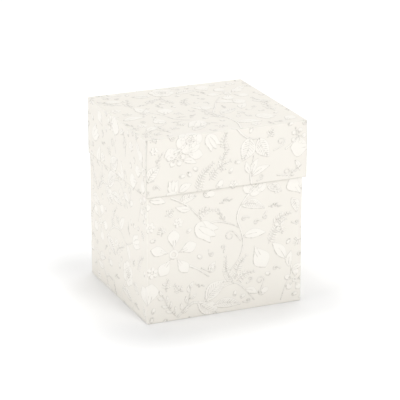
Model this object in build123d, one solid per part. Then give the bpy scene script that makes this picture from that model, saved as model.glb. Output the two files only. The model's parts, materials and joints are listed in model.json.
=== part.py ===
from build123d import *
import os

# A small square favour box of folded, embossed card: a four-walled body with a snap-lock
# bottom, and a lift-off lid folded as a tray with glued corners. Every panel between two
# creases is a solid of its own. Z is up, X runs along the front wall, Y from front to back,
# and the origin is at the bottom centre of the closed box.

# Driving dimensions, in millimetres
LID_WIDTH = 80.0  # outside, along X
LID_DEPTH = 75.0  # outside, along Y
BOX_HEIGHT = 89.0  # table to lid top
SKIRT_HEIGHT = 27.5  # lid top to the skirt's lower edge
CARD = 0.4  # thickness of the card over its embossing
GLUE = 0.1  # thickness of a film of adhesive
FOLD_RADIUS = 0.6  # outside radius of a crease
RUNNING_GAP = 0.1  # between body and lid where they come closest
SIDE_PLAY = 1.4  # spare width inside the lid, all of it but the gap on the right

# Body seam
GLUE_FLAP_WIDTH = 14.0
GLUE_FLAP_BEVEL = 5.0  # how far the flap's ends slope away from the fold
GLUE_MARGIN = 3.0  # adhesive stops this far inside a flap's edges

# Snap-lock bottom: the flaps lie in layers, one card thickness apart
SIDE_FLAP_LAYER = 1  # how many layers of card lie under a flap
SLOTTED_FLAP_LAYER = 2
TONGUE_LAYER = 3
FLAP_SIDE_GAP = 3.0  # between a flap's side edge and the wall beside it
JOGGLE_START = 0.8  # flat part of a flap before it steps up over its neighbours
JOGGLE_RUN = 0.8  # length of the step, for each layer it climbs
JOGGLE_CLEARANCE = 0.8  # between the slotted flap's step and the side flaps
SIDE_FLAP_REACH = 20.0
SIDE_FLAP_BEVEL = 12.0
SLOTTED_FLAP_REACH = 45.0
NOTCH_WIDTH = 34.0
NOTCH_DEPTH = 9.0
TONGUE_WIDTH = 31.0
TONGUE_REACH = 12.0
TONGUE_GAP = 0.2  # between the tongue's riser and the bottom of the notch
TONGUE_CORNER = 3.0

# Lid corners
CORNER_GAP = 0.15  # the front and back skirts stop this far short of the corner
RELIEF_WIDTH = 0.45  # extra gap at the top of a skirt's end
RELIEF_HEIGHT = 9.0
TAB_LENGTH = 14.0
TAB_FOOT_GAP = 0.8  # between a tab's lower end and the skirt's lower edge
TAB_HEAD_GAP = 0.8  # between a tab's upper end and the top panel
TAB_BEVEL = 3.0

# Worked out from the driving dimensions, the body's about the body's own centre line
BODY_HEIGHT = BOX_HEIGHT - CARD
BODY_HALF_X = (LID_WIDTH - 2 * CARD - SIDE_PLAY) / 2
BODY_HALF_Y = LID_DEPTH / 2 - 2 * CARD - GLUE - RUNNING_GAP
BODY_SHIFT_X = -(SIDE_PLAY / 2 - RUNNING_GAP)
SEAM_X = -BODY_HALF_X + CARD + GLUE  # outer face of the glue flap
NOTCH_Y = BODY_HALF_Y - CARD - SLOTTED_FLAP_REACH + NOTCH_DEPTH
TONGUE_Y0 = NOTCH_Y - TONGUE_GAP - CARD  # front of the tongue's riser
JOGGLE_END = JOGGLE_START + SLOTTED_FLAP_LAYER * JOGGLE_RUN
LID_HALF_X = LID_WIDTH / 2
LID_HALF_Y = LID_DEPTH / 2
LID_BOTTOM = BOX_HEIGHT - SKIRT_HEIGHT
TAB_HALF_Y = LID_HALF_Y - CARD - GLUE  # outer face of the corner tabs
TAB_TOP = BOX_HEIGHT - CARD - TAB_HEAD_GAP
TAB_BOTTOM = LID_BOTTOM + TAB_FOOT_GAP


def block(x0, x1, y0, y1, z0, z1):
    """A plain box between two corners."""
    centre = Pos((x0 + x1) / 2, (y0 + y1) / 2, (z0 + z1) / 2)
    return centre * Box(x1 - x0, y1 - y0, z1 - z0)


def plan_prism(points, z0, z1):
    """An outline seen from above, given height."""
    outline = make_face(Polyline(*points, close=True))
    return Pos(0, 0, z0) * extrude(outline, z1 - z0, dir=(0, 0, 1))


def front_prism(points, y0, y1):
    """An outline of (x, z) points seen from the front, given depth."""
    outline = make_face(Polyline(*[(x, 0, z) for x, z in points], close=True))
    return Pos(0, y0, 0) * extrude(outline, y1 - y0, dir=(0, 1, 0))


def side_prism(points, x0, x1):
    """An outline of (y, z) points seen from the side, given width."""
    outline = make_face(Polyline(*[(0, y, z) for y, z in points], close=True))
    return Pos(x0, 0, 0) * extrude(outline, x1 - x0, dir=(1, 0, 0))


def creased(part, sharp_corner=None):
    """Rounds a block's upright edges, but for the one nearest sharp_corner."""
    edges = part.edges().filter_by(Axis.Z)
    if sharp_corner is not None:
        edges = edges.sort_by_distance(sharp_corner)[1:]
    return fillet(edges, FOLD_RADIUS)


def creased_below(part):
    """Rounds the edges of a block's lowest face."""
    return fillet(part.faces().sort_by(Axis.Z)[0].edges(), FOLD_RADIUS)


def creased_above(part):
    """Rounds the edges of a block's highest face."""
    return fillet(part.faces().sort_by(Axis.Z)[-1].edges(), FOLD_RADIUS)


# Body walls

def body_envelope():
    """The body's outside, with the seam's cut corner left sharp."""
    solid = block(-BODY_HALF_X, BODY_HALF_X, -BODY_HALF_Y, BODY_HALF_Y, 0, BODY_HEIGHT)
    return creased_below(creased(solid, (-BODY_HALF_X, BODY_HALF_Y, BODY_HEIGHT / 2)))


def seam_envelope():
    """The outside of the back wall and of the glue flap folded off it."""
    solid = block(SEAM_X, BODY_HALF_X, -BODY_HALF_Y, BODY_HALF_Y, 0, BODY_HEIGHT)
    return creased_below(creased(solid))


def front_wall():
    x, y = BODY_HALF_X, -BODY_HALF_Y
    plan = [(-x, y), (x, y), (x - CARD, y + CARD), (-x + CARD, y + CARD)]
    return plan_prism(plan, 0, BODY_HEIGHT) & body_envelope()


def right_wall():
    x, y = BODY_HALF_X, BODY_HALF_Y
    plan = [(x, -y), (x, y), (x - CARD, y - CARD), (x - CARD, -y + CARD)]
    return plan_prism(plan, 0, BODY_HEIGHT) & body_envelope()


def back_wall():
    x, y = BODY_HALF_X, BODY_HALF_Y
    plan = [(x, y), (SEAM_X, y), (SEAM_X + CARD, y - CARD), (x - CARD, y - CARD)]
    return plan_prism(plan, 0, BODY_HEIGHT) & seam_envelope()


def left_wall():
    """Folded off the front wall; its back end is the cut edge at the seam."""
    x, y = -BODY_HALF_X, BODY_HALF_Y
    plan = [(x, -y), (x + CARD, -y + CARD), (x + CARD, y), (x, y)]
    return plan_prism(plan, 0, BODY_HEIGHT) & body_envelope()


def glue_flap():
    """Folded off the back wall and glued inside the left wall, its ends bevelled."""
    y = BODY_HALF_Y
    plan = [
        (SEAM_X, y),
        (SEAM_X + CARD, y - CARD),
        (SEAM_X + CARD, y - GLUE_FLAP_WIDTH),
        (SEAM_X, y - GLUE_FLAP_WIDTH),
    ]
    low = FLAP_SIDE_GAP
    high = BODY_HEIGHT - CARD
    outline = [
        (y, low),
        (y, high),
        (y - GLUE_FLAP_WIDTH, high - GLUE_FLAP_BEVEL),
        (y - GLUE_FLAP_WIDTH, low + GLUE_FLAP_BEVEL),
    ]
    flap = plan_prism(plan, 0, BODY_HEIGHT) & side_prism(outline, SEAM_X, SEAM_X + CARD)
    return flap & seam_envelope()


def seam_glue():
    """Adhesive between the left wall and the glue flap."""
    y1 = BODY_HALF_Y - GLUE_MARGIN
    y0 = BODY_HALF_Y - GLUE_FLAP_WIDTH + GLUE_MARGIN
    z0 = FLAP_SIDE_GAP + GLUE_FLAP_BEVEL
    return block(SEAM_X - GLUE, SEAM_X, y0, y1, z0, BODY_HEIGHT - z0)


# Snap-lock bottom

def stepped_profile(reach, layers):
    """(distance from the wall, height) points of a flap that climbs over other layers."""
    rise = layers * CARD
    top_lag = CARD / 2
    foot = JOGGLE_START
    head = JOGGLE_START + layers * JOGGLE_RUN
    return [
        (0, 0),
        (foot, 0),
        (head, rise),
        (reach, rise),
        (reach, rise + CARD),
        (head - top_lag, rise + CARD),
        (foot - top_lag, CARD),
        (0, CARD),
    ]


def bottom_front_flap():
    """The outermost layer, flat on the table, up to the foot of its tongue."""
    x = BODY_HALF_X - CARD - FLAP_SIDE_GAP
    y0 = -BODY_HALF_Y + CARD
    bevel = FLAP_SIDE_GAP
    plan = [
        (-x, y0),
        (x, y0),
        (x, TONGUE_Y0 - bevel),
        (x - bevel, TONGUE_Y0),
        (-x + bevel, TONGUE_Y0),
        (-x, TONGUE_Y0 - bevel),
    ]
    return plan_prism(plan, 0, CARD) & body_envelope()


def bottom_lock_tongue():
    """Rises through the slotted flap's notch and lies on top of that flap."""
    x = TONGUE_WIDTH / 2
    y0, y1 = TONGUE_Y0, TONGUE_Y0 + CARD + TONGUE_REACH
    corner = TONGUE_CORNER
    plan = [
        (-x, y0),
        (x, y0),
        (x, y1 - corner),
        (x - corner, y1),
        (-x + corner, y1),
        (-x, y1 - corner),
    ]
    under = TONGUE_LAYER * CARD
    top = under + CARD
    profile = [(y0, 0), (y0, top), (y1, top), (y1, under), (y0 + CARD, under), (y0 + CARD, 0)]
    return plan_prism(plan, 0, top) & side_prism(profile, -x, x)


def bottom_side_flap():
    """The right-hand one of the two middle flaps."""
    wall = BODY_HALF_X - CARD
    profile = [(wall - d, z) for d, z in stepped_profile(SIDE_FLAP_REACH, SIDE_FLAP_LAYER)]
    y0 = -BODY_HALF_Y + CARD + FLAP_SIDE_GAP / 2
    y1 = BODY_HALF_Y - CARD - JOGGLE_END - JOGGLE_CLEARANCE - FLAP_SIDE_GAP / 2
    tip = wall - SIDE_FLAP_REACH
    plan = [(wall, y0), (wall, y1), (tip, y1 - SIDE_FLAP_BEVEL), (tip, y0 + SIDE_FLAP_BEVEL)]
    height = (SIDE_FLAP_LAYER + 1) * CARD
    return plan_prism(plan, 0, height) & front_prism(profile, y0, y1)


def bottom_slotted_flap():
    """The innermost layer, folded off the back wall, with the notch for the tongue."""
    wall = BODY_HALF_Y - CARD
    x = BODY_HALF_X - CARD - FLAP_SIDE_GAP
    profile = [(wall - d, z) for d, z in stepped_profile(SLOTTED_FLAP_REACH, SLOTTED_FLAP_LAYER)]
    tip = wall - SLOTTED_FLAP_REACH
    half_notch = NOTCH_WIDTH / 2
    plan = [
        (-x, wall),
        (x, wall),
        (x, tip + NOTCH_DEPTH),
        (half_notch + NOTCH_DEPTH, tip),
        (half_notch, tip),
        (half_notch, tip + NOTCH_DEPTH),
        (-half_notch, tip + NOTCH_DEPTH),
        (-half_notch, tip),
        (-half_notch - NOTCH_DEPTH, tip),
        (-x, tip + NOTCH_DEPTH),
    ]
    height = (SLOTTED_FLAP_LAYER + 1) * CARD
    return plan_prism(plan, 0, height) & side_prism(profile, -x, x)


# Lid

def lid_envelope(half_y):
    """The lid's outside, rounded along its top and upright edges."""
    solid = block(-LID_HALF_X, LID_HALF_X, -half_y, half_y, LID_BOTTOM, BOX_HEIGHT)
    return creased_above(creased(solid))


def lid_top_panel():
    """A flat panel whose four edges are mitred to meet the skirts."""
    x, y, z = LID_HALF_X, LID_HALF_Y, BOX_HEIGHT
    under = z - CARD
    across = [(-x + CARD, under), (x - CARD, under), (x, z), (-x, z)]
    along = [(-y + CARD, under), (y - CARD, under), (y, z), (-y, z)]
    return front_prism(across, -y, y) & side_prism(along, -x, x) & lid_envelope(y)


def lid_front_skirt():
    """Covers the tabs; its ends stop short of the corners, and slope away at the top."""
    y, z = -LID_HALF_Y, BOX_HEIGHT
    profile = [(y, LID_BOTTOM), (y + CARD, LID_BOTTOM), (y + CARD, z - CARD), (y, z)]
    x = LID_HALF_X - CORNER_GAP
    narrow = x - RELIEF_WIDTH
    knee = z - RELIEF_HEIGHT
    outline = [
        (-x, LID_BOTTOM),
        (x, LID_BOTTOM),
        (x, knee),
        (narrow, z),
        (-narrow, z),
        (-x, knee),
    ]
    skirt = side_prism(profile, -x, x) & front_prism(outline, y, y + CARD)
    return skirt & lid_envelope(LID_HALF_Y)


def lid_left_skirt():
    """Mitred to the top panel above and to a tab at each end."""
    x, y, z = -LID_HALF_X, TAB_HALF_Y, BOX_HEIGHT
    inside = x + CARD
    profile = [(x, LID_BOTTOM), (inside, LID_BOTTOM), (inside, z - CARD), (x, z)]
    plan = [(x, -y), (x, y), (inside, y - CARD), (inside, -y + CARD)]
    return front_prism(profile, -y, y) & plan_prism(plan, LID_BOTTOM, z) & lid_envelope(y)


def lid_front_left_tab():
    """Folded off the left skirt and glued behind the front skirt."""
    x, y = -LID_HALF_X, -TAB_HALF_Y
    tip = x + TAB_LENGTH
    low = TAB_BOTTOM + TAB_BEVEL
    high = TAB_TOP - TAB_BEVEL
    outline = [(x, TAB_BOTTOM), (tip, low), (tip, high), (x, TAB_TOP)]
    plan = [(x, y), (tip, y), (tip, y + CARD), (x + CARD, y + CARD)]
    tab = front_prism(outline, y, y + CARD) & plan_prism(plan, TAB_BOTTOM, TAB_TOP)
    return tab & lid_envelope(TAB_HALF_Y)


def lid_front_left_glue():
    """Adhesive between that tab and the front skirt."""
    x0 = -LID_HALF_X + GLUE_MARGIN
    x1 = -LID_HALF_X + TAB_LENGTH - GLUE_MARGIN
    z0 = TAB_BOTTOM + TAB_BEVEL
    z1 = TAB_TOP - TAB_BEVEL
    return block(x0, x1, -TAB_HALF_Y - GLUE, -TAB_HALF_Y, z0, z1)


def body_parts():
    side_flap = bottom_side_flap()
    parts = {
        "body_front_wall": front_wall(),
        "body_right_wall": right_wall(),
        "body_back_wall": back_wall(),
        "body_left_wall": left_wall(),
        "body_glue_flap": glue_flap(),
        "body_seam_glue": seam_glue(),
        "bottom_front_flap": bottom_front_flap(),
        "bottom_lock_tongue": bottom_lock_tongue(),
        "bottom_left_flap": mirror(side_flap, Plane.YZ),
        "bottom_right_flap": side_flap,
        "bottom_slotted_flap": bottom_slotted_flap(),
    }
    return {name: Pos(BODY_SHIFT_X, 0, 0) * part for name, part in parts.items()}


def lid_parts():
    parts = {
        "lid_top_panel": lid_top_panel(),
        "lid_front_skirt": lid_front_skirt(),
        "lid_back_skirt": mirror(lid_front_skirt(), Plane.XZ),
        "lid_left_skirt": lid_left_skirt(),
        "lid_right_skirt": mirror(lid_left_skirt(), Plane.YZ),
    }
    corner_pieces = {"lid_tab": lid_front_left_tab(), "lid_glue": lid_front_left_glue()}
    for kind, piece in corner_pieces.items():
        for end, front_piece in (("front", piece), ("back", mirror(piece, Plane.XZ))):
            parts[f"{kind}_{end}_left"] = front_piece
            parts[f"{kind}_{end}_right"] = mirror(front_piece, Plane.YZ)
    return parts


os.makedirs("parts", exist_ok=True)
for name, part in {**body_parts(), **lid_parts()}.items():
    export_step(part, f"parts/{name}.step")
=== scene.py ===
import json
import math

import bpy
import numpy as np
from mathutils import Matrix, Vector


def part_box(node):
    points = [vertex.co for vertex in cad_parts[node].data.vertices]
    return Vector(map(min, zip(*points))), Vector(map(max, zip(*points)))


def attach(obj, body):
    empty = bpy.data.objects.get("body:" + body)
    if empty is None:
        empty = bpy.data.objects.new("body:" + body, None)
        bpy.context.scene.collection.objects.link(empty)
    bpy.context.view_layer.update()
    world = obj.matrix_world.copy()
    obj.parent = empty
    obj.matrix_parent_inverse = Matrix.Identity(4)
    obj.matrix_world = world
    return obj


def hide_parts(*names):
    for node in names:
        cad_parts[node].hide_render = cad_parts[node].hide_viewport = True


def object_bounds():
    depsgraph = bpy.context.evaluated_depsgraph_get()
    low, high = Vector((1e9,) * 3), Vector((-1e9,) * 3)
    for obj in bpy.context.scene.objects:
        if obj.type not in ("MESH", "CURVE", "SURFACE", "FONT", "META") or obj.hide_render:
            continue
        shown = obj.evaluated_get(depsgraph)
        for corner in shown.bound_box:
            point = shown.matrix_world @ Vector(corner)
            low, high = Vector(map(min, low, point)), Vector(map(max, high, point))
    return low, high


# A lidded favour box of ivory card, embossed all over with roses, leaves, vines and ferns.
# The card's panels are made as fine sheets in the flat, pressed by one embossing tree, and
# then stood up where the frame has them. Patterns are drawn flat, in millimetres, on complex
# numbers: x + iy. Everything else is in metres.

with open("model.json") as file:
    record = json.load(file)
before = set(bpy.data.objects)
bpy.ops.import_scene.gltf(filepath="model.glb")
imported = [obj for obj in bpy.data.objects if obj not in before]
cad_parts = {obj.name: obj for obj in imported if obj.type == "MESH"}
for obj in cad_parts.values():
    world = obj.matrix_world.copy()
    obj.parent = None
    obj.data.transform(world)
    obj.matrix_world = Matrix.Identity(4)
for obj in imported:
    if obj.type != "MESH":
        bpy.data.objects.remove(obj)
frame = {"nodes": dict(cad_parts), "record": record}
CAD_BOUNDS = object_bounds()

MM = 0.001
FOLD_RADIUS = 0.6 * MM  # outside of a crease
GRID_PITCH = 0.28 * MM  # spacing of the sheet's points, fine enough for the thinnest vein
RELIEF = 0.16 * MM  # from the pressed ground to the top of a petal
SHOULDER = 0.26 * MM  # width of the slope round a raised shape
SCORE_WIDTH = 0.34 * MM  # half width of a scored line's valley
SCORE_DEPTH = 0.60  # share of the relief that a scored line takes away
GROOVE = 0.24 * MM  # width of the deeper groove along the lower left of each raised shape, which the card's colour also paints with shade, as if lit from the upper right
GROOVE_DEPTH = 0.35  # its depth below the ground, as a share of the relief
CROWN = 0.2  # share of the relief by which a shape's middle stands above its rim
CREASE_CALM = 0.7 * MM  # beside a crease the relief dies away over this width
SKIRT_RELIEF = 0.45 * MM  # the front and back skirts' ends are drawn in by this at the crease
SKIRT_RELIEF_HEIGHT = 9.0 * MM
FAR = 1.0 * MM  # distances from a rim or a cut edge are kept up to this

# A sheet's face attribute "side", under the names of the embosser's material inputs.
SIDES = {"Outer face": 0.0, "Reverse": 1.0, "Cut edge": 2.0}

# The fine dark lines on the card are painted shade, drawn in SHADE. Each has a strength
# and the (core, fade) half widths in millimetres between which it dies away.
OUTLINE_SHADE_STRENGTH, OUTLINE_SHADE_WIDTH = 0.16, (0.05, 0.22)  # painted shade at the foot of each raised shape
OUTLINE_SHADE_OFFSET = 0.08  # how far outside the shape it runs
GROOVE_SHADE_STRENGTH = 0.50  # painted shade in the groove along the shape's lower left, its side away from a light at the upper right
# painted shade in the scored veins
VEIN_SHADE_STRENGTH, VEIN_SHADE_WIDTH = 0.48, (0.07, 0.26)
SEAM_SHADE_STRENGTH, SEAM_SHADE_WIDTH = 0.26, (0.03, 0.16)  # painted shade between petals that overlap
CUT_EDGE_SHADE_STRENGTH, CUT_EDGE_SHADE_WIDTH = 0.30, (0.12, 0.40)  # painted shade along the card beside a die-cut edge, such as the dark line at the lid's lower edge

CAMERA_AZIMUTH = -23.17  # degrees round from the box's front, negative to its left
CAMERA_ELEVATION = 19.11  # degrees above the table
CAMERA_DISTANCE = 12.97  # from the point it aims at, in box widths
CAMERA_AIM = (0.026, -0.010)  # right of and above the box's middle, in box widths
CAMERA_LENS = 197.2  # millimetres, on a sensor 36 mm wide


# ---------------------------------------------------------------- node trees

def math_node(tree, operation, *operands, clamp=False):
    node = tree.nodes.new("ShaderNodeMath")
    node.operation = operation
    node.use_clamp = clamp
    for slot, value in zip(node.inputs, operands):
        plug(tree, slot, value)
    return Value(tree, node.outputs[0])


class Value:
    """A socket that can be used in arithmetic. Each operator adds one Math node."""

    def __init__(self, tree, socket):
        self.tree = tree
        self.socket = socket

    def math(self, operation, *others):
        return math_node(self.tree, operation, self, *others)

    def __add__(self, other):
        return self.math("ADD", other)

    def __radd__(self, other):
        return math_node(self.tree, "ADD", other, self)

    def __sub__(self, other):
        return self.math("SUBTRACT", other)

    def __rsub__(self, other):
        return math_node(self.tree, "SUBTRACT", other, self)

    def __mul__(self, other):
        return self.math("MULTIPLY", other)

    def __rmul__(self, other):
        return math_node(self.tree, "MULTIPLY", other, self)

    def __truediv__(self, other):
        return self.math("DIVIDE", other)

    def __abs__(self):
        return self.math("ABSOLUTE")

    def least(self, other):
        return self.math("MINIMUM", other)

    def clamped(self):
        return math_node(self.tree, "ADD", self, 0.0, clamp=True)


def plug(tree, slot, value):
    """Links a value to an input socket, or sets the socket to a plain number, colour or data-block."""
    if isinstance(value, Value):
        tree.links.new(value.socket, slot)
    else:
        slot.default_value = value


class Tree:
    """A shader or geometry node tree, with one method that adds any node."""

    def __init__(self, nodes):
        self.tree = nodes

    def node(self, kind, settings=None, inputs=None):
        """A new node. settings are its own properties; inputs are socket names or places with values."""
        node = self.tree.nodes.new(kind)
        for name, value in (settings or {}).items():
            setattr(node, name, value)
        for name, value in (inputs or {}).items():
            plug(self.tree, node.inputs[name], value)
        return node

    def add(self, kind, settings=None, inputs=None, output=0):
        """A new node's output, ready for arithmetic."""
        return Value(self.tree, self.node(kind, settings, inputs).outputs[output])

    def smooth_step(self, value, start, end):
        """0 below start and 1 above end, with a soft ramp between them."""
        settings = {"interpolation_type": "SMOOTHSTEP"}
        inputs = {"Value": value, "From Min": start, "From Max": end}
        return self.add("ShaderNodeMapRange", settings, inputs)

    def hairline(self, gap, core, fade):
        """1 where a gap is under core, down to 0 where it reaches fade."""
        return 1.0 - self.smooth_step(gap, core, fade)


# ---------------------------------------------------------------- motifs, drawn flat

class Motif:
    """Raised plates, the rims scored round them and the veins scored across them.

    Each is a list of curves, as complex points in millimetres.
    """

    def __init__(self):
        self.plates = []
        self.rims = []
        self.veins = []

    def plate(self, outline, edged=True):
        self.plates.append(outline)
        return self.rim(np.append(outline, outline[0])) if edged else self

    def rim(self, points):
        self.rims.append(points)
        return self

    def vein(self, points):
        self.veins.append(points)
        return self

    def points(self):
        return np.concatenate(self.plates + self.rims + self.veins)

    def put(self, other, at=0j, turn=0.0):
        """Adds another motif, turned by degrees and then moved."""
        heading = np.exp(1j * math.radians(turn))
        self.plates += [at + p * heading for p in other.plates]
        self.rims += [at + p * heading for p in other.rims]
        self.veins += [at + p * heading for p in other.veins]
        return self


def smooth_curve(points, steps=6, closed=False):
    """A Catmull-Rom curve through the points."""
    p = np.array(points, complex)
    if closed:
        p = np.concatenate([p[-1:], p, p[:2]])
    else:
        p = np.concatenate([[2 * p[0] - p[1]], p, [2 * p[-1] - p[-2]]])
    t = np.linspace(0, 1, steps, endpoint=False)
    spans = []
    for a, b, c, d in zip(p, p[1:], p[2:], p[3:]):
        bend = (2 * a - 5 * b + 4 * c - d) * t**2 + (3 * b - a - 3 * c + d) * t**3
        spans.append(b + ((c - a) * t + bend) / 2)
    if not closed:
        spans.append(p[-2:-1])
    return np.concatenate(spans)


def oval(long, wide, centre=0j, turn=0.0, points=12):
    angle = np.linspace(0, 2 * np.pi, points, endpoint=False)
    shape = long / 2 * np.cos(angle) + 1j * wide / 2 * np.sin(angle)
    return centre + shape * np.exp(1j * math.radians(turn))


def ribbon(motif, points, width, taper=0.35):
    """A raised stem along the points, thinner towards its end."""
    line = smooth_curve(points)
    along = np.gradient(line)
    half = width / 2 * np.linspace(1, taper, len(line))
    side = 1j * along / np.abs(along) * half
    for a, b, s, t in zip(line, line[1:], side, side[1:]):
        motif.plate(np.array([a - s, b - t, b + t, a + s]), edged=False)
    return motif.rim(line + side).rim(line - side)


def leaf_frame(length, width, bend, shape=0.85, steps=13):
    """(midrib, half widths) of a pointed leaf that starts at 0 and ends at length."""
    t = np.linspace(0, 1, steps)
    rib = length * (t + 1j * bend * np.sin(np.pi * t))
    return rib, width / 2 * np.sin(np.pi * t**shape)


def leaf(length, width, bend=0.08):
    """A plain leaf with one midrib that stops short of the tip."""
    rib, half = leaf_frame(length, width, bend)
    outline = np.concatenate([rib + 1j * half, (rib - 1j * half)[-2:0:-1]])
    return Motif().plate(outline).vein(rib[:8])


def veined_leaf(length, width, bend=0.1, veins=8):
    """A leaf with close slanting veins inside a plain rim."""
    rib, half = leaf_frame(length, width, bend)
    outline = np.concatenate([rib + 1j * half, (rib - 1j * half)[-2:0:-1]])
    motif = Motif().plate(outline).vein(rib[:-1])
    t = np.linspace(0, 1, len(rib))
    for place in np.linspace(0.14, 0.8, veins):
        reach = min(place + 0.12, 1.0)
        root = np.interp(place, t, rib.real) + 1j * np.interp(place, t, rib.imag)
        tip = np.interp(reach, t, rib.real) + 1j * np.interp(reach, t, rib.imag)
        out = 0.72j * np.interp(reach, t, half)
        motif.vein(np.array([root, tip + out]))
        motif.vein(np.array([root, tip - out]))
    return motif


def petal(length, width):
    """A round-ended petal with two short pleats at its foot."""
    rib, half = leaf_frame(length, width, 0.0, shape=1.5)
    outline = np.concatenate([rib + 1j * half, (rib - 1j * half)[-2:0:-1]])
    pleat = np.array([0.12 * length, 0.45 * length])
    return Motif().plate(outline).vein(pleat + 0.06j * width).vein(pleat - 0.14j * width)


def open_flower(petal_length, petal_width, count=5):
    """Petals round a ring with an open middle."""
    ring = 0.24 * petal_length
    motif = Motif()
    for k in range(count):
        turn = 360 / count * k
        foot = (ring + 0.5) * np.exp(1j * math.radians(turn))
        motif.put(petal(petal_length, petal_width * (1 + 0.12 * math.sin(2.4 * k))), foot, turn)
    angles = np.linspace(0, 2 * np.pi, 19)
    circle = np.exp(1j * angles)
    for a, b in zip(circle, circle[1:]):
        motif.plate(np.array([a * ring, b * ring, b * ring * 0.55, a * ring * 0.55]), edged=False)
    return motif.rim(circle * (ring + 0.3)).rim(circle * ring * 0.5)


def daisy(size):
    """A small filler flower: six round petals and a button."""
    motif = Motif()
    for k in range(6):
        centre = 0.3 * size * np.exp(1j * np.pi / 3 * k)
        motif.plate(oval(0.36 * size, 0.26 * size, centre, 60 * k), edged=False)
    return motif.plate(oval(0.22 * size, 0.22 * size))


def rose(radius):
    """A full rose: a spiral heart on two rings of overlapping round petals."""
    motif = Motif()
    for count, out, size, start in ((6, 0.62, 0.78, 0.0), (5, 0.36, 0.56, 0.4)):
        for k in range(count):
            turn = 2 * np.pi * k / count + start
            motif.plate(oval(size * radius, 1.15 * size * radius, out * radius * np.exp(1j * turn),
                             math.degrees(turn), 16))
    turns = np.linspace(0.15, 2.3, 40)
    return motif.vein(radius * 0.19 * turns * np.exp(2j * np.pi * turns))


def bell(length):
    """A bellflower seen from the side, with a toothed mouth."""
    half = [0.10 + 0.22j, 0.34 + 0.37j, 0.62 + 0.36j, 0.98 + 0.33j, 0.84 + 0.14j]
    points = [0j, *half, 1.04 + 0j, *[p.conjugate() for p in half[::-1]]]
    motif = Motif().plate(length * smooth_curve(points, steps=4, closed=True))
    for side in (-1, 1):
        motif.vein(length * smooth_curve([0.2 + 0.06j * side, 0.5 + 0.13j * side, 0.8 + 0.12j * side], 4))
    return motif


def bud(length):
    """A closed bud with two sepals."""
    motif = Motif().plate(oval(0.7 * length, 0.5 * length, 0.6 * length))
    for side in (-1, 1):
        motif.put(leaf(0.6 * length, 0.2 * length, 0.1 * side), 0j, 28 * side)
    return motif


def fern(length, bend=0.12):
    """A dotted frond: pairs of small drops along a hair-thin stalk."""
    stalk = smooth_curve([0j, length * (0.5 + 1j * bend), length + 0j])
    motif = ribbon(Motif(), [stalk[0], stalk[len(stalk) // 2], stalk[-1]], 0.35)
    pairs = max(4, int(length / 1.25))
    for k in range(1, pairs + 1):
        place = k / pairs
        at = stalk[min(int(place * (len(stalk) - 1)), len(stalk) - 1)]
        drop = 1.15 - 0.45 * place
        for side in (-1, 1):
            out = at + (1.15 - 0.5 * place) * np.exp(1j * math.radians(58 * side))
            motif.plate(oval(drop, 0.62 * drop, out, 50 * side, 7), edged=False)
            if place < 0.7:
                far = at + (2.3 - 1.2 * place) * np.exp(1j * math.radians(64 * side))
                motif.plate(oval(0.8 * drop, 0.5 * drop, far, 50 * side, 7), edged=False)
    return motif


def sprig(length, bend=0.1, leaflets=6):
    """A stalk with small leaves, in turn on either side."""
    stalk = [0j, length * (0.5 + 1j * bend), length + 0j]
    motif = ribbon(Motif(), stalk, 0.5)
    line = smooth_curve(stalk)
    for k in range(leaflets):
        at = line[int((0.18 + 0.8 * k / leaflets) * (len(line) - 1))]
        side = 1 if k % 2 else -1
        motif.put(leaf(0.27 * length, 0.09 * length, 0.1 * side), at, 38 * side)
    return motif.put(leaf(0.24 * length, 0.1 * length), length * 0.97)


def tendril(size):
    """A stalk that ends in a curl."""
    turns = np.linspace(0, 1.15, 11)
    curl = size * (1 + 0.42j + 0.42 * (1 - 0.6 * turns) * np.exp(1j * (2 * np.pi * turns - np.pi / 2)))
    return ribbon(Motif(), [0j, *curl], 0.5)


def stem(*points, width=0.85):
    return ribbon(Motif(), points, width)


def fill_gaps(sheet, step, kinds, seed, tries=900, clearance=0.8):
    """Drops small motifs, turned at random, into the ground between the big ones.

    kinds are (motif, how far it reaches from its foot or middle) pairs. step is the sheet's
    repeat, so that a motif keeps clear of its neighbours' copies too.
    """
    chance = np.random.default_rng(seed)
    copies = [0, 1j * step.imag, -1j * step.imag]
    copies += [x * step.real + y * 1j * step.imag for x in (1, -1) for y in (-1.5, -0.5, 0.5, 1.5)]
    taken = np.concatenate([sheet.points() + move for move in copies])
    low = min(p.real.min() for p in sheet.plates) + 1j * min(p.imag.min() for p in sheet.plates)
    for _ in range(tries):
        motif, reach = kinds[chance.integers(len(kinds))]
        at = low + complex(chance.uniform(0, step.real), chance.uniform(0, step.imag))
        turn = chance.uniform(0, 360)
        middle = at + reach / 2 * np.exp(1j * math.radians(turn))
        if np.abs(taken - middle).min() < reach / 2 + clearance:
            continue
        added = Motif().put(motif, at, turn)
        sheet.put(added)
        taken = np.concatenate([taken, *[added.points() + move for move in copies]])
    return sheet


def small_work():
    """The little motifs that fill the ground, with how far each one reaches."""
    return [(sprig(5.5, 0.14, 5), 6.6), (tendril(2.6), 4.0), (fern(5.5), 6.0), (sprig(4.2, -0.1, 4), 5.0),
            (bud(3.0), 3.0), (fern(4.0, -0.15), 4.6)]


# Each row is a motif, its foot or middle in the sheet, and its turn in degrees. The body's
# sheet starts at the near left crease; the lid's is centred on the top panel.

BODY_STEP = 78 + 90j  # one repeat of the pattern, across and up
LID_STEP = 80 + 102j


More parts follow.
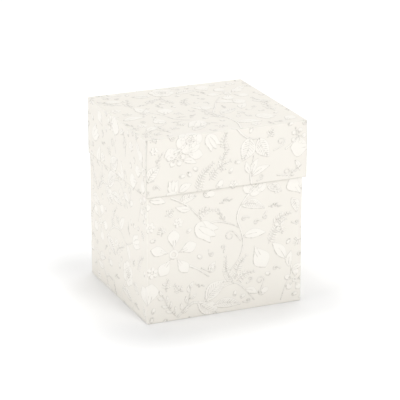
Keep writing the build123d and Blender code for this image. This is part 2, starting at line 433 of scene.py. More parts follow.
def body_repeat():
    """One repeat of the body's sheet, running round the walls and up them."""
    sheet = Motif()
    rows = [
        (open_flower(9.2, 5.4), 13.2 + 32.5j, 18),
        (bell(11.5), 24.0 + 45.0j, -32),
        (stem(31 + 45j, 35 + 45.5j, 41.5 + 43.5j, 46 + 41j, width=0.7), 0j, 0),
        (sprig(6.5, leaflets=4), 39 + 45j, 118),
        (stem(57 + 63j, 50 + 56j, 46 + 50j, 45 + 45j, 47 + 39j, 48 + 33j, 46 + 26j, 41 + 20j, width=1.0),
         0j, 0),
        (leaf(11.5, 4.4, 0.05), 48 + 36.6j, 1),
        (veined_leaf(12.5, 4.6, 0.12, 9), 46.6 + 51.8j, -14),
        (tendril(6.0), 47 + 34.5j, 128),
        (fern(14), 61 + 31j, 52),
        (fern(10), 63 + 40j, 28),
        (fern(9), 68 + 35j, 95),
        (leaf(11, 4.8, -0.06), 69.5 + 22.5j, 128),
        (stem(69.5 + 22.5j, 72 + 20j, 73 + 15j, 70 + 9j, 67.5 + 2j), 0j, 0),
        (leaf(8, 3.2), 71.5 + 18j, 82),
        (leaf(7, 2.6), 72.5 + 16j, 18),
        (open_flower(4.2, 3.0), 74.5 + 11j, 10),
        (fern(14), 43 + 14j, 105),
        (fern(12), 44 + 16j, 62),
        (fern(9), 45 + 15j, 22),
        (daisy(5.5), 1.5 + 47j, 0),
        (daisy(6.0), 2.5 + 25j, 20),
        (petal(11, 8.5), 0 + 9j, 78),
        (sprig(14, 0.06), 15 + 1.5j, 122),
        (sprig(15, -0.14), 15 + 1.5j, 64),
        (stem(15 + 1.5j, 22 + 7j, 28 + 7j, 36 + 12j, 44 + 14j, 50 + 9j, 54 + 4j, width=0.95), 0j, 0),
        (veined_leaf(14, 7.0, 0.1, 9), 29 + 7j, 40),
        (veined_leaf(13, 5.4, -0.08, 8), 25 + 7.5j, -34),
        (veined_leaf(14, 4.8, 0.08, 9), 33 + 4.5j, -6),
        (leaf(7, 3.2), 49 + 10j, -24),
        (bud(5.5), 56 + 7j, 20),
        (tendril(5), 57 + 8j, 70),
        (petal(13, 8.5), 53.5 + 31j, -62),
        (leaf(8, 3.8), 1.5 + 60j, -14),
        (stem(12 + 60j, 19 + 56j, 25 + 50j, 29 + 44j), 0j, 0),
        (veined_leaf(9, 4.2, 0.1, 6), 16 + 57j, 15),
        (leaf(8, 3.0), 22 + 53.5j, 168),
        (fern(9), 25 + 50j, 8),
        (daisy(5), 15.5 + 47.5j, 10),
        (bud(6), 28 + 60j, -10),
        (rose(6.2), 53.5 + 61.5j, 30),
        (veined_leaf(8, 4.2), 60 + 59j, -22),
        (daisy(4), 65 + 57j, 0),
        (petal(10, 8.5), 77 + 53.5j, 122),
        (veined_leaf(8, 4.0, 0.1, 6), 72.5 + 52j, -70),
        (tendril(5), 27 + 24j, -30),
        (stem(21 + 26j, 26 + 23j, 31 + 19j), 0j, 0),
        (leaf(6, 2.6), 31 + 21j, 60),
        (open_flower(7.5, 4.6), 18 + 76j, 0),
        (veined_leaf(12, 5.6), 27 + 71j, -28),
        (stem(27 + 71j, 34 + 78j, 44 + 80j, 52 + 76j, 60 + 79j), 0j, 0),
        (fern(13), 34 + 78j, 64),
        (leaf(10, 4), 44 + 80j, 52),
        (bell(9), 60 + 79j, 22),
        (leaf(9, 3.6), 52 + 76j, -60),
        (sprig(12), 38 + 66j, 34),
        (sprig(12), 4 + 70j, 62),
        (fern(11), 66 + 68j, 48),
        (daisy(5), 39 + 72j, 0),
        (veined_leaf(10, 5), 8 + 86j, -12),
        (petal(9, 7), 30 + 88j, 74),
    ]
    for motif, at, turn in rows:
        sheet.put(motif, at, turn)
    return fill_gaps(sheet, BODY_STEP, small_work(), seed=11)


def lid_repeat():
    """One repeat of the lid's sheet, running across the lid and from the front skirt's edge back."""
    sheet = Motif()
    rows = [
        (rose(6.3), -19 - 40.2j, 10),
        (petal(9, 6), -22.5 - 44j, 196),
        (petal(9, 5), -21 - 45.5j, -14),
        (open_flower(3.4, 2.6, 6), -25.5 - 47.3j, 0),
        (leaf(7, 2.8), -22 - 49j, -18),
        (bell(8.0), -10 - 38.5j, -58),
        (stem(3 - 35j, 6 - 39j, 10 - 42.5j, 16 - 43.6j, width=0.95), 0j, 0),
        (veined_leaf(11.5, 7.4, 0.08, 8), 11 - 42.2j, -108),
        (veined_leaf(11, 6.8, -0.08, 8), 15.5 - 43j, -62),
        (stem(12 - 65j, 11.5 - 60j, 12.5 - 55j, 13 - 51j), 0j, 0),
        (leaf(10, 3.2), 12 - 61j, 24),
        (leaf(8, 3.0), 12 - 60j, 66),
        (leaf(7, 2.6), 11.8 - 60j, 112),
        (fern(15), -15 - 65j, 58),
        (fern(13), -9 - 60j, 36),
        (fern(11), -3 - 57j, 72),
        (fern(8), -1 - 47j, 88),
        (veined_leaf(9.5, 5.2, 0.1, 6), -39.5 - 57.5j, 48),
        (sprig(6.5, leaflets=4), -35 - 51j, 64),
        (stem(-43 - 60j, -39.5 - 57.5j, -36 - 57j), 0j, 0),
        (bell(6.5), -27 - 64.5j, 88),
        (leaf(7, 3.6), -24 - 64j, 28),
        (daisy(4), -36 - 43j, 0),
        (petal(10.5, 9.5), 42 - 50j, 178),
        (open_flower(2.8, 2.2, 5), 35.5 - 44.5j, 0),
        (tendril(5), 23 - 50j, 24),
        (stem(29 - 50j, 32 - 48j, 35 - 45j, 34 - 40j), 0j, 0),
        (leaf(6, 2.2), 34 - 56j, -64),
        (sprig(7, leaflets=4), 31 - 64j, 40),
        (bud(5), -5 - 65j, 60),
        (daisy(4.5), 3 - 64j, 0),
        (tendril(4.5), 25 - 62j, -10),
        # the top panel
        (bell(11), -6 - 18j, -118),
        (veined_leaf(9, 4.6), -14 - 31j, 30),
        (petal(10, 7.5), -17 - 4j, 68),
        (leaf(11, 5), -22 + 2j, 112),
        (leaf(11, 4.6), -38 - 5j, 8),
        (petal(9.5, 6), -24 - 7j, -84),
        (stem(-27 - 2j, -22 + 1j, -18 - 4j, -15 - 12j, -9 - 16j), 0j, 0),
        (fern(10), -26 + 0j, 58),
        (stem(7 - 37j, 9 - 28j, 8 - 19j, 5 - 10j, 9 - 2j, 13 + 6j, 18 + 13j, width=0.95), 0j, 0),
        (sprig(11), 8 - 19j, 120),
        (veined_leaf(12, 5.4), 7.5 - 13j, 28),
        (leaf(12, 4.6), 9 - 27j, -14),
        (fern(12), 5 - 10j, 100),
        (leaf(11, 4.4), 9 - 2j, 158),
        (leaf(9, 4), 13 + 6j, -20),
        (open_flower(8.0, 5.0), 24 + 17j, 30),
        (petal(9, 6.5), 22 + 8j, -72),
        (fern(12), -2 + 6j, 66),
        (fern(12), -6 + 12j, 100),
        (rose(6.0), -5 + 30j, 40),
        (veined_leaf(11, 5.6), 1 + 26j, 8),
        (veined_leaf(10, 5), -11 + 28j, 172),
        (petal(9, 7), 17 + 25j, 100),
        (sprig(12), -27 + 12j, 78),
        (sprig(11), -30 + 18j, 130),
        (fern(10), -18 + 16j, 30),
        (bell(9), 22 - 20j, -50),
        (leaf(9, 4), 20 - 8j, 54),
        (sprig(12), 33 - 17j, 84),
        (fern(11), 36 - 4j, 110),
        (veined_leaf(9, 4.6), 30 + 2j, -30),
        (daisy(5.5), -36 + 10j, 0),
        (daisy(5), -33 - 16j, 0),
        (leaf(9, 4), -34 - 24j, 30),
        (fern(12), -38 - 33j, 52),
        (sprig(11), -25 - 30j, 100),
        (tendril(5.5), -26 - 20j, 40),
        (daisy(5), 16 - 33j, 0),
        (tendril(5), 1 - 25j, 150),
        (petal(8, 5.5), 31 - 33j, 40),
        (leaf(8, 3.4), 36 + 26j, -150),
        (daisy(5), 32 + 32j, 0),
        (leaf(9, 4), -36 + 26j, -24),
        (petal(8, 6), -24 + 33j, 140),
    ]
    for motif, at, turn in rows:
        sheet.put(motif, at, turn)
    return fill_gaps(sheet, LID_STEP, small_work(), seed=12)


def flat_mesh(name, loops, closed):
    """A flat mesh of filled outlines, or of loose edges along open lines."""
    points = np.concatenate(loops) * MM
    mesh = bpy.data.meshes.new(name)
    corners = []
    start = 0
    for loop in loops:
        corners.append(range(start, start + len(loop)))
        start += len(loop)
    faces = [list(c) for c in corners] if closed else []
    edges = [] if closed else [pair for c in corners for pair in zip(c, c[1:])]
    mesh.from_pydata([(p.real, p.imag, 0.0) for p in points], edges, faces)
    return bpy.data.objects.new(name, mesh)


# ---------------------------------------------------------------- geometry trees

def geometry_tree(name, sockets):
    """(group, tree, group input's sockets) of a tree that takes and gives geometry."""
    group = bpy.data.node_groups.new(name, "GeometryNodeTree")
    group.is_modifier = True
    group.interface.new_socket("Geometry", in_out="INPUT", socket_type="NodeSocketGeometry")
    for label, kind in sockets:
        group.interface.new_socket(label, in_out="INPUT", socket_type="NodeSocket" + kind)
    group.interface.new_socket("Geometry", in_out="OUTPUT", socket_type="NodeSocketGeometry")
    tree = Tree(group)
    source = tree.node("NodeGroupInput")
    return group, tree, {socket.name: Value(group, socket) for socket in source.outputs if socket.name}


def repeat_tree():
    """Lays a flat motif mesh out over the sheet in columns, every other one half a step up."""
    sockets = [("Step X", "Float"), ("Step Y", "Float"), ("Columns", "Int"), ("Rows", "Int")]
    group, tree, given = geometry_tree("sheet_repeat", sockets)
    wide = (given["Columns"] - 1) * given["Step X"]
    high = (given["Rows"] - 1) * given["Step Y"]
    places = {"Size X": wide, "Size Y": high, "Vertices X": given["Columns"], "Vertices Y": given["Rows"]}
    grid = tree.add("GeometryNodeMeshGrid", None, places)
    x = tree.add("ShaderNodeSeparateXYZ", None, {0: tree.add("GeometryNodeInputPosition")})
    odd = (x / given["Step X"]).math("ROUND").math("FLOORED_MODULO", 2.0)
    lift = tree.add("ShaderNodeCombineXYZ", None, {1: odd * given["Step Y"] * 0.5})
    moved = tree.add("GeometryNodeSetPosition", None, {"Geometry": grid, "Offset": lift})
    inputs = {"Points": moved, "Instance": given["Geometry"]}
    copies = tree.add("GeometryNodeInstanceOnPoints", None, inputs)
    whole = tree.add("GeometryNodeRealizeInstances", None, {"Geometry": copies})
    tree.node("NodeGroupOutput", None, {0: whole})
    return group


def emboss_tree():
    """Presses a flat sheet's ground down round the plates, and scores the rims and veins.

    The sheet lies in the pattern's plane with its outer face up. Its point attribute "grip"
    says how far each point follows the die: 1 in the open, 0 at creases and on the reverse.
    Its face attribute "side" is one of SIDES. The tree adds point attributes for the card's colour:
    raised, a groove mask for the painted shade at the lower left of a shape, and a mask for the
    painted highlight at its upper right rim run from 0 to 1, and from_rim and from_vein are
    distances in millimetres, from_rim being negative inside a shape.
    """
    sockets = [("Plates", "Object"), ("Rims", "Object"), ("Veins", "Object"),
               ("Relief", "Float"), ("Shoulder", "Float"),
               ("Score width", "Float"), ("Score depth", "Float"),
               ("Groove", "Float"), ("Groove depth", "Float"),
               *[(side, "Material") for side in SIDES]]
    group, tree, given = geometry_tree("embosser", sockets)
    parts = tree.node("ShaderNodeSeparateXYZ", None, {0: tree.add("GeometryNodeInputPosition")})
    x, y = Value(group, parts.outputs[0]), Value(group, parts.outputs[1])
    place = tree.add("ShaderNodeCombineXYZ", None, {0: x, 1: y})
    aside = {0: x + given["Groove"], 1: y + given["Groove"] * 0.8}
    up_right = tree.add("ShaderNodeCombineXYZ", None, aside)

    def distance_to(die, element, point):
        shape = tree.add("GeometryNodeObjectInfo", None, {"Object": die}, output="Geometry")
        inputs = {0: shape, "Sample Position": point}
        return tree.add("GeometryNodeProximity", {"target_element": element}, inputs, output="Distance")

    off_plate = distance_to(given["Plates"], "FACES", place)
    off_rim = distance_to(given["Rims"], "EDGES", place)
    off_vein = distance_to(given["Veins"], "EDGES", place)
    to_upper_plate = distance_to(given["Plates"], "FACES", up_right)
    raised = tree.hairline(off_plate, 0.0, given["Shoulder"])
    off_line = off_rim.least(off_vein)
    scored = tree.hairline(off_line, 0.0, given["Score width"])
    crown = tree.smooth_step(off_line, 0.0, given["Score width"] * 4.0)
    inside = off_plate.math("LESS_THAN", 1e-6)
    from_rim = (off_plate - inside * off_rim).least(FAR)
    at_upper_edge = tree.hairline(to_upper_plate, 0.0, given["Groove"] * 0.7)
    # painted shade mask, also a deeper groove: the ground just to the lower left of a shape
    groove_with_painted_shade = at_upper_edge * (1.0 - inside)
    # painted highlight mask: a shape's own rim at its upper right
    lit = (1.0 - at_upper_edge) * inside
    level = raised * ((1.0 - CROWN) + CROWN * crown) * (1.0 - given["Score depth"] * scored)
    level = level - given["Groove depth"] * groove_with_painted_shade
    grip = tree.add("GeometryNodeInputNamedAttribute", {"data_type": "FLOAT"}, {"Name": "grip"})
    drop = tree.add("ShaderNodeCombineXYZ", None, {2: (level - 1.0) * given["Relief"] * grip})
    sheet = tree.add("GeometryNodeSetPosition", None, {"Geometry": given["Geometry"], "Offset": drop})
    for name, value in (("raised", raised), ("grooved", groove_with_painted_shade), ("lit", lit),
                        ("from_rim", from_rim * 1000.0), ("from_vein", off_vein * 1000.0)):
        settings = {"data_type": "FLOAT", "domain": "POINT"}
        inputs = {"Geometry": sheet, "Name": name, "Value": value}
        sheet = tree.add("GeometryNodeStoreNamedAttribute", settings, inputs)
    sheet = tree.add("GeometryNodeRealizeInstances", None, {"Geometry": sheet})
    side = tree.add("GeometryNodeInputNamedAttribute", {"data_type": "FLOAT"}, {"Name": "side"})
    for name, number in SIDES.items():
        here = side.math("COMPARE", number, 0.25)
        inputs = {"Geometry": sheet, "Selection": here, "Material": given[name]}
        sheet = tree.add("GeometryNodeSetMaterial", None, inputs)
    tree.node("NodeGroupOutput", None, {0: sheet})
    return group


def run_tree(obj, group, values):
    """Runs a geometry tree on an object, swaps its mesh for the result and removes the modifier."""
    modifier = obj.modifiers.new(group.name, "NODES")
    modifier.node_group = group
    for item in group.interface.items_tree:
        if item.in_out == "INPUT" and item.name in values:
            modifier[item.identifier] = values[item.name]
    bpy.context.view_layer.update()
    evaluated = obj.evaluated_get(bpy.context.evaluated_depsgraph_get())
    mesh = bpy.data.meshes.new_from_object(evaluated)
    obj.modifiers.remove(modifier)
    obj.data = mesh
    return obj


# ---------------------------------------------------------------- card sheets

def edge_stations(kind, card):
    """(inset, depth) points of a sheet's outer face, from an edge in to the flat."""
    if kind == "cut":
        return [(0.0, 0.0)]
    last = {"crease": math.radians(45), "under": math.acos(1 - 0.9 * card / FOLD_RADIUS)}[kind]
    angles = np.linspace(last, 0, 6)
    return [(FOLD_RADIUS * (1 - math.sin(a)), FOLD_RADIUS * (1 - math.cos(a))) for a in angles]


def stations(length, kinds, card):
    """(place, depth, grip, distance from a cut edge) arrays from a sheet's low edge to its high one."""
    low = edge_stations(kinds[0], card)
    high = edge_stations(kinds[1], card)
    flat_start, flat_end = low[-1][0], length - high[-1][0]
    count = round((flat_end - flat_start) / GRID_PITCH)
    inner = np.linspace(flat_start, flat_end, count + 1)
    place = np.concatenate([[s for s, _ in low[:-1]], inner, [length - s for s, _ in high[-2::-1]]])
    depth = np.concatenate([[d for _, d in low[:-1]], np.zeros(count + 1), [d for _, d in high[-2::-1]]])
    grip = np.ones(len(place))
    from_cut = np.full(len(place), FAR)
    for kind, inset in ((kinds[0], place), (kinds[1], length - place)):
        if kind == "cut":
            from_cut = np.minimum(from_cut, inset)
        else:
            ramp = np.clip((inset - FOLD_RADIUS / 2) / CREASE_CALM, 0, 1)
            grip *= ramp * ramp * (3 - 2 * ramp)
    return place, depth, grip, from_cut


def back_inset(kind, card):
    """How far in the reverse face starts, at an edge."""
    if kind == "under":
        return FOLD_RADIUS - math.sqrt(FOLD_RADIUS**2 - (FOLD_RADIUS - card) ** 2)
    return {"cut": 0.0, "crease": card}[kind]


def sheet_mesh(name, across, up, across_kinds, up_kinds, card, ends=None):
    """A closed sheet of card, lying flat with its outer face up at z = 0.

    across and up are its (low, high) limits in the pattern's plane. ends gives, for a
    place along up, how far the cut edges across are drawn in. Beside grip and side, the
    sheet carries the point attribute from_cut, its distance from a cut edge in millimetres.
    """
    a, a_depth, a_grip, a_cut = stations(across[1] - across[0], across_kinds, card)
    b, b_depth, b_grip, b_cut = stations(up[1] - up[0], up_kinds, card)
    width = across[1] - across[0]
    grid_a, grid_b = np.meshgrid(a, b)
    drawn_in = np.array([ends(y) if ends else 0.0 for y in b])[:, None]
    grid_a = drawn_in + grid_a * (1 - 2 * drawn_in / width)
    depth = np.minimum(np.hypot(*np.meshgrid(a_depth, b_depth)), 0.95 * card)
    grip = np.outer(b_grip, a_grip)
    from_cut = np.minimum.outer(b_cut, a_cut) / MM
    rows, columns = grid_a.shape
    number = np.arange(rows * columns).reshape(rows, columns)
    outer = np.stack([across[0] + grid_a, up[0] + grid_b, -depth], axis=2).reshape(-1, 3)

    # the reverse face has a ring of points, one under each edge point of the outer face
    ring = np.concatenate([number[0, :-1], number[:-1, -1], number[-1, :0:-1], number[:0:-1, 0]])
    back = outer[ring].copy()
    for axis, (low, high, kinds) in enumerate(((*across, across_kinds), (*up, up_kinds))):
        low, high = low + back_inset(kinds[0], card), high - back_inset(kinds[1], card)
        first, last = outer[:, axis].min(), outer[:, axis].max()
        back[:, axis] = low + (back[:, axis] - first) * (high - low) / (last - first)
    back[:, 2] = -card

    corners = [number[:-1, :-1], number[:-1, 1:], number[1:, 1:], number[1:, :-1]]
    quads = np.stack(corners, axis=2).reshape(-1, 4)
    size = len(ring)
    under = rows * columns + np.arange(size)
    rim = np.stack([ring, under, np.roll(under, -1), np.roll(ring, -1)], axis=1)
    faces = [*quads.tolist(), *rim.tolist(), *back_strips(under, rows, columns)]
    mesh = bpy.data.meshes.new(name)
    mesh.from_pydata([*outer.tolist(), *back.tolist()], [], faces)
    sides = np.full(len(faces), SIDES["Reverse"])
    sides[: len(quads)] = SIDES["Outer face"]
    sides[len(quads) : len(quads) + size] = SIDES["Cut edge"]
    store(mesh, "side", "FACE", sides)
    store(mesh, "grip", "POINT", np.concatenate([grip.ravel(), np.zeros(size)]))
    store(mesh, "from_cut", "POINT", np.concatenate([from_cut.ravel(), np.zeros(size)]))
    mesh.polygons.foreach_set("use_smooth", sides == SIDES["Outer face"])
    return bpy.data.objects.new(name, mesh)


def back_strips(under, rows, columns):
    """Faces of the reverse: long strips between the ring's two long runs, and one at each end."""
    low = under[: columns]
    high = under[columns + rows - 2 : 2 * columns + rows - 2][::-1]
    right = under[columns - 1 : columns + rows - 1]
    left = np.append(under[2 * columns + rows - 3 :], under[0])
    strips = [[low[k + 1], low[k], high[k], high[k + 1]] for k in range(1, columns - 2)]
    first = [low[1], *left[::-1], high[1]]
    last = [low[-2], high[-2], *right[::-1]]
    return [list(map(int, strip)) for strip in [*strips, first, last]]


def store(mesh, name, domain, values):
    mesh.attributes.new(name, "FLOAT", domain).data.foreach_set("value", np.asarray(values, np.float32))


def stand_up(obj, origin, right, up):
    """Moves a flat sheet's points to where it stands: right and up are the sheet's axes there."""
    count = len(obj.data.vertices)
    points = np.empty(count * 3, np.float32)
    obj.data.vertices.foreach_get("co", points)
    axes = np.array([right, up, np.cross(right, up)])
    points = points.reshape(-1, 3) @ axes + np.array(origin)
    obj.data.vertices.foreach_set("co", points.astype(np.float32).ravel())
    obj.data.update()


X, Y, Z = np.eye(3)


class Panel:
    """One panel of card: its node, its limits in the pattern's sheet, and where it stands.

    corner is where the sheet's point (across low, up low) stands, and right and up are the
    directions there of the sheet's two axes. Edges are "crease", "under" or "cut".
    """

    def __init__(self, node, body, across, up, edges, corner, axes, ends=None):
        self.node = node
        self.body = body
        self.across = across
        self.up = up
        self.edges = edges
        self.origin = np.array(corner) - across[0] * axes[0] - up[0] * axes[1]
        self.axes = axes
        self.ends = ends


def body_panels():
    x0, x1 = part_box("body_left_wall")[0].x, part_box("body_right_wall")[1].x
    y0, y1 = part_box("body_front_wall")[0].y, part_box("body_back_wall")[1].y
    z0, z1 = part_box("bottom_front_flap")[0].z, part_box("body_front_wall")[1].z
    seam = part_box("body_glue_flap")[0].x
    wide, deep = x1 - x0, y1 - y0
    up = (0.0, z1 - z0)
    creased = (("crease", "crease"), ("under", "cut"))
    at_seam = (("cut", "crease"), ("under", "cut"))
    walls = [
        ("front", (0.0, wide), creased, (x0, y0, z0), X),
        ("right", (wide, wide + deep), creased, (x1, y0, z0), Y),
        ("back", (wide + deep, wide + deep + x1 - seam), creased, (x1, y1, z0), -X),
        ("left", (-deep, 0.0), at_seam, (x0, y1, z0), -Y),
    ]
    return [Panel(f"body_{side}_wall", "box_body", across, up, edges, corner, (axis, Z))
            for side, across, edges, corner, axis in walls]


def lid_panels():
    x0, x1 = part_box("lid_left_skirt")[0].x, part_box("lid_right_skirt")[1].x
    y0, y1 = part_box("lid_front_skirt")[0].y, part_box("lid_back_skirt")[1].y
    z0, z1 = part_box("lid_front_skirt")[0].z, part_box("lid_top_panel")[1].z
    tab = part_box("lid_tab_front_left")[0].y
    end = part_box("lid_front_skirt")[0].x
    drop = z1 - z0
    folded = ("crease", "crease")

    def front_ends(y):
        return SKIRT_RELIEF * max(0.0, y - (drop - SKIRT_RELIEF_HEIGHT)) / SKIRT_RELIEF_HEIGHT

    def back_ends(y):
        return front_ends(drop - y)

    return [
        Panel("lid_top_panel", "lid", (x0, x1), (y0, y1), (folded, folded), (x0, y0, z1), (X, Y)),
        Panel("lid_front_skirt", "lid", (end, -end), (y0 - drop, y0), (("cut", "cut"), ("cut", "crease")),
              (end, y0, z0), (X, Z), front_ends),
        Panel("lid_back_skirt", "lid", (end, -end), (y1, y1 + drop), (("cut", "cut"), ("crease", "cut")),
              (end, y1, z1), (X, -Z), back_ends),
        Panel("lid_left_skirt", "lid", (x0 - drop, x0), (tab, -tab), (("cut", "crease"), folded),
              (x0, tab, z0), (Z, Y)),
        Panel("lid_right_skirt", "lid", (x1, x1 + drop), (tab, -tab), (("crease", "cut"), folded),
              (x1, tab, z1), (-Z, Y)),
    ]


# ---------------------------------------------------------------- materials

def new_material(name):
    """(material, tree, Principled node) of an empty material."""
    material = bpy.data.materials.new(name)
    material.use_nodes = True
    tree = Tree(material.node_tree)
    return material, tree, material.node_tree.nodes["Principled BSDF"]


def object_place(tree):
    return tree.add("ShaderNodeTexCoord", None, None, output="Object")


def noise(tree, scale, detail):
    inputs = {"Vector": object_place(tree), "Scale": scale, "Detail": detail}
    return tree.add("ShaderNodeTexNoise", None, inputs)


def fibres(tree, scale):
    """Card's felted fibres: a fine noise, drawn out a little one way."""
    stretch = {"Vector": object_place(tree), "Scale": (1.0, 1.35, 0.8)}
    stretched = tree.add("ShaderNodeMapping", None, stretch)
    inputs = {"Vector": stretched, "Scale": scale, "Detail": 4.0, "Roughness": 0.62}
    return tree.add("ShaderNodeTexNoise", None, inputs)


def mix_colour(tree, factor, first, second):
    inputs = {0: factor, 6: first, 7: second}
    return tree.add("ShaderNodeMix", {"data_type": "RGBA"}, inputs, output=2)


def attribute(tree, name):
    return tree.add("ShaderNodeAttribute", {"attribute_name": name}, None, output="Fac")


def dress(tree, shader, colour, roughness, height, strength, distance):
    """Plugs in a finish's colour and roughness, and a bump with its height, strength and distance."""
    plug(tree.tree, shader.inputs["Base Color"], colour)
    plug(tree.tree, shader.inputs["Roughness"], roughness)
    bump = {"Strength": strength, "Distance": distance, "Height": height}
    plug(tree.tree, shader.inputs["Normal"], tree.add("ShaderNodeBump", None, bump))


def grey(level):
    return (level, level, level, 1.0)


BLACK = grey(0.0)
WHITE = grey(1.0)
IVORY = (0.888, 0.857, 0.797, 1.0)
DEEP_IVORY = (0.862, 0.830, 0.765, 1.0)
PEARL = (0.955, 0.930, 0.876, 1.0)
SHADE = (0.40, 0.37, 0.32, 1.0)
PLAIN_CARD = (0.93, 0.915, 0.87, 1.0)
FELT_MARK = (0.86, 0.84, 0.79, 1.0)
CORE = (0.95, 0.935, 0.90, 1.0)
CORE_LAYER = (0.74, 0.71, 0.65, 1.0)
GLUE = (0.86, 0.84, 0.76, 1.0)
THICK_GLUE = (0.78, 0.74, 0.62, 1.0)


def embossed_card():
    """Ivory card: a matt pressed ground, brighter raised work with a painted highlight along its upper
    right, and fine dark lines of painted shade round it.
    """
    material, tree, shader = new_material("embossed ivory card")
    raised = attribute(tree, "raised")
    from_rim = attribute(tree, "from_rim")
    grain = fibres(tree, 2600.0)
    cloud = noise(tree, 60.0, 2.0)
    patches = noise(tree, 700.0, 1.0)
    broken = 0.35 + 0.65 * tree.smooth_step(patches, 0.38, 0.62)  # where the press bit less
    on_top = tree.smooth_step(raised, 0.9, 1.0)

    ground = mix_colour(tree, (0.35 * grain + 0.4 * cloud).clamped(), IVORY, DEEP_IVORY)
    # painted highlight: each raised shape is brightest along its upper right rim
    lit = 0.6 + 0.4 * attribute(tree, "lit")
    surface = mix_colour(tree, raised * lit, ground, PEARL)

    # Painted shade in SHADE: just outside each raised shape, in the groove at its lower left, in its veins,
    # between overlapping petals and beside the cut edges.
    outline = tree.hairline(abs(from_rim - OUTLINE_SHADE_OFFSET), *OUTLINE_SHADE_WIDTH)
    groove_with_painted_shade = attribute(tree, "grooved") * broken
    vein = tree.hairline(attribute(tree, "from_vein"), *VEIN_SHADE_WIDTH) * on_top * broken
    seam = tree.hairline(abs(from_rim), *SEAM_SHADE_WIDTH) * on_top
    # painted shade beside the die-cut edges, such as the dark line at the lid's lower edge
    edge = tree.hairline(attribute(tree, "from_cut"), *CUT_EDGE_SHADE_WIDTH)
    line = OUTLINE_SHADE_STRENGTH * outline + GROOVE_SHADE_STRENGTH * groove_with_painted_shade + VEIN_SHADE_STRENGTH * vein
    line = (line + SEAM_SHADE_STRENGTH * seam + CUT_EDGE_SHADE_STRENGTH * edge).clamped()
    colour = mix_colour(tree, line, surface, SHADE)

    roughness = 0.62 - 0.22 * raised + 0.12 * grain
    dress(tree, shader, colour, roughness, grain * (1.0 - 0.55 * raised), 0.25, 0.06 * MM)
    plug(tree.tree, shader.inputs["Coat Weight"], 0.08 * raised * (1.0 - line))
    shader.inputs["Coat Roughness"].default_value = 0.28
    shader.inputs["Specular IOR Level"].default_value = 0.22
    return material


def plain_card():
    """The card's uncoated reverse, with felt marks and stray fibres."""
    material, tree, shader = new_material("card reverse")
    grain = fibres(tree, 1800.0)
    felt = noise(tree, 240.0, 3.0)
    colour = mix_colour(tree, (0.5 * grain + 0.3 * felt).clamped(), PLAIN_CARD, FELT_MARK)
    dress(tree, shader, colour, 0.78 + 0.14 * grain, 0.7 * grain + 0.3 * felt, 0.4, 0.08 * MM)
    return material


def cut_card():
    """The die-cut edge: a paler core with the layers of the board just showing."""
    material, tree, shader = new_material("cut card edge")
    layers = noise(tree, 5200.0, 2.0)
    colour = mix_colour(tree, layers, CORE, CORE_LAYER)
    dress(tree, shader, colour, 0.85 + 0.1 * layers, layers, 0.5, 0.05 * MM)
    return material


def dried_glue():
    """A thin film of dried white glue: slightly yellow, wavy and half glossy."""
    material, tree, shader = new_material("dried glue")
    waves = noise(tree, 380.0, 2.0)
    colour = mix_colour(tree, waves, GLUE, THICK_GLUE)
    dress(tree, shader, colour, 0.3 + 0.25 * waves, waves, 0.6, 0.1 * MM)
    return material


# ---------------------------------------------------------------- the pieces

def pattern_dies(name, repeat, step, columns, rows):
    """The dies for one sheet: its plates, rims and veins, each laid out over the sheet as one object."""
    group = bpy.data.node_groups.get("sheet_repeat") or repeat_tree()
    dies = []
    for kind in ("plates", "rims", "veins"):
        die = flat_mesh(f"{name}_{kind}", getattr(repeat, kind), closed=kind == "plates")
        bpy.context.collection.objects.link(die)
        values = {"Step X": step.real * MM, "Step Y": step.imag * MM, "Columns": columns, "Rows": rows}
        dies.append(run_tree(die, group, values))
    return dies


def make_panels(panels, dies, group, finishes):
    for panel in panels:
        low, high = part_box(panel.node)
        card = min(high - low)
        sheet = sheet_mesh(f"embossed_{panel.node}", panel.across, panel.up, *panel.edges, card, panel.ends)
        bpy.context.collection.objects.link(sheet)
        values = {"Plates": dies[0], "Rims": dies[1], "Veins": dies[2],
                  "Relief": RELIEF, "Shoulder": SHOULDER,
                  "Score width": SCORE_WIDTH, "Score depth": SCORE_DEPTH,
                  "Groove": GROOVE, "Groove depth": GROOVE_DEPTH, **finishes}
        run_tree(sheet, group, values)
        stand_up(sheet, panel.origin, *panel.axes)
        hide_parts(panel.node)
        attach(sheet, panel.body)


def finish_nodes(finish_of_slot):
    """Gives each CAD node that still shows the finish of its material slot."""
    for row in frame["record"]["subparts"]:
        material = finish_of_slot.get(row["material_slot"])
        if material:
            for slot in frame["nodes"][row["node"]].material_slots:
                slot.material = material


# ---------------------------------------------------------------- stage, light and camera

def stage_floor(low, high):
    """A white studio floor that glows away from the box: painted light that keeps it white to the horizon
    and shortens the box's shadow.
    """
    bpy.ops.mesh.primitive_plane_add(size=12.0, location=(0, 0, low.z))
    floor = bpy.context.object
    floor.name = "studio_floor"
    material, tree, shader = new_material("white studio floor")
    shader.inputs["Base Color"].default_value = grey(0.95)
    shader.inputs["Roughness"].default_value = 0.9
    shader.inputs["Specular IOR Level"].default_value = 0.1

    def vector_math(operation, *operands, output=0):
        return tree.add("ShaderNodeVectorMath", {"operation": operation}, dict(enumerate(operands)), output)

    # the distance from the box's footprint
    outward = vector_math("SUBTRACT", vector_math("ABSOLUTE", object_place(tree)), (high.x, high.y, 0))
    distance = vector_math("LENGTH", vector_math("MAXIMUM", outward, (0, 0, 0)), output="Value")
    # painted light: the floor is dark at the box's foot, glows round it, which shortens the box's shadow
    # and lights its lower walls, is fainter past the shadow, and glows fully far away
    near = tree.smooth_step(distance, 0.008, 0.05) - 0.4 * tree.smooth_step(distance, 0.08, 0.2)
    glow = 0.4 * near + 0.8 * tree.smooth_step(distance, 0.3, 1.2)
    plug(tree.tree, shader.inputs["Emission Color"], mix_colour(tree, glow, BLACK, WHITE))
    shader.inputs["Emission Strength"].default_value = 0.62
    floor.data.materials.append(material)


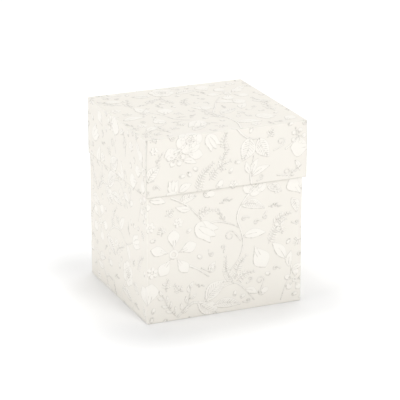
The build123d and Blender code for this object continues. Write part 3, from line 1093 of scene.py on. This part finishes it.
def soft_box(name, place, aim, size, watts):
    """A square lamp that faces the point it aims at."""
    lamp = bpy.data.lights.new(name, "AREA")
    lamp.shape = "SQUARE"
    lamp.size = size
    lamp.energy = watts
    obj = bpy.data.objects.new(name, lamp)
    obj.location = place
    obj.rotation_mode = "QUATERNION"
    obj.rotation_quaternion = (Vector(place) - Vector(aim)).to_track_quat("Z", "Y")
    bpy.context.collection.objects.link(obj)


def studio_light(middle):
    """A pale sky that is white at the horizon, and five soft boxes round the box."""
    world = bpy.data.worlds.new("white studio")
    world.use_nodes = True
    tree = Tree(world.node_tree)
    direction = tree.add("ShaderNodeTexCoord", None, None, output="Generated")
    height = tree.add("ShaderNodeSeparateXYZ", None, {0: direction}, output=2)
    sky = mix_colour(tree, tree.smooth_step(height, 0.08, 0.42), grey(0.95), grey(0.36))
    plug(tree.tree, world.node_tree.nodes["Background"].inputs["Color"], sky)
    bpy.context.scene.world = world
    for name, place, size, watts in (
        ("back_light", (0.10, 0.36, 0.85), 0.5, 1.7),
        ("top_light", (0.0, 0.14, 1.0), 0.6, 1.0),
        ("front_fill", (0.14, -0.74, 0.66), 0.3, 2.55),
        ("left_fill", (-0.80, -0.04, 0.60), 0.4, 2.25),
        ("right_fill", (0.72, 0.46, 0.56), 0.6, 1.5),
    ):
        soft_box(name, place, middle, size, watts)
    bpy.context.scene.view_settings.view_transform = "Standard"


def make_camera(low, high):
    """A long lens, a little to the left of the box's front and a little above it."""
    azimuth, elevation = math.radians(CAMERA_AZIMUTH), math.radians(CAMERA_ELEVATION)
    width = high.x - low.x
    back = Vector((math.sin(azimuth) * math.cos(elevation), -math.cos(azimuth) * math.cos(elevation),
                   math.sin(elevation)))
    right = Vector((math.cos(azimuth), math.sin(azimuth), 0.0))
    up = back.cross(right)
    aim = (low + high) / 2 + (CAMERA_AIM[0] * right + CAMERA_AIM[1] * up) * width
    camera = bpy.data.cameras.new("camera")
    camera.lens = CAMERA_LENS
    camera.sensor_width = 36.0
    camera.clip_start, camera.clip_end = 0.05, 20.0
    obj = bpy.data.objects.new("camera", camera)
    obj.location = aim + back * CAMERA_DISTANCE * width
    obj.rotation_mode = "QUATERNION"
    obj.rotation_quaternion = back.to_track_quat("Z", "Y")
    bpy.context.collection.objects.link(obj)
    bpy.context.scene.camera = obj


low, high = CAD_BOUNDS
make_camera(low, high)

reverse = plain_card()
finishes = {"Outer face": embossed_card(), "Reverse": reverse, "Cut edge": cut_card()}
embosser = emboss_tree()
body_dies = pattern_dies("body_die", body_repeat(), BODY_STEP, columns=7, rows=3)
lid_dies = pattern_dies("lid_die", lid_repeat(), LID_STEP, columns=5, rows=3)
make_panels(body_panels(), body_dies, embosser, finishes)
make_panels(lid_panels(), lid_dies, embosser, finishes)
for die in [*body_dies, *lid_dies]:
    bpy.data.objects.remove(die)
finish_nodes({"inner_card": reverse, "adhesive": dried_glue()})

stage_floor(low, high)
studio_light((low + high) / 2)
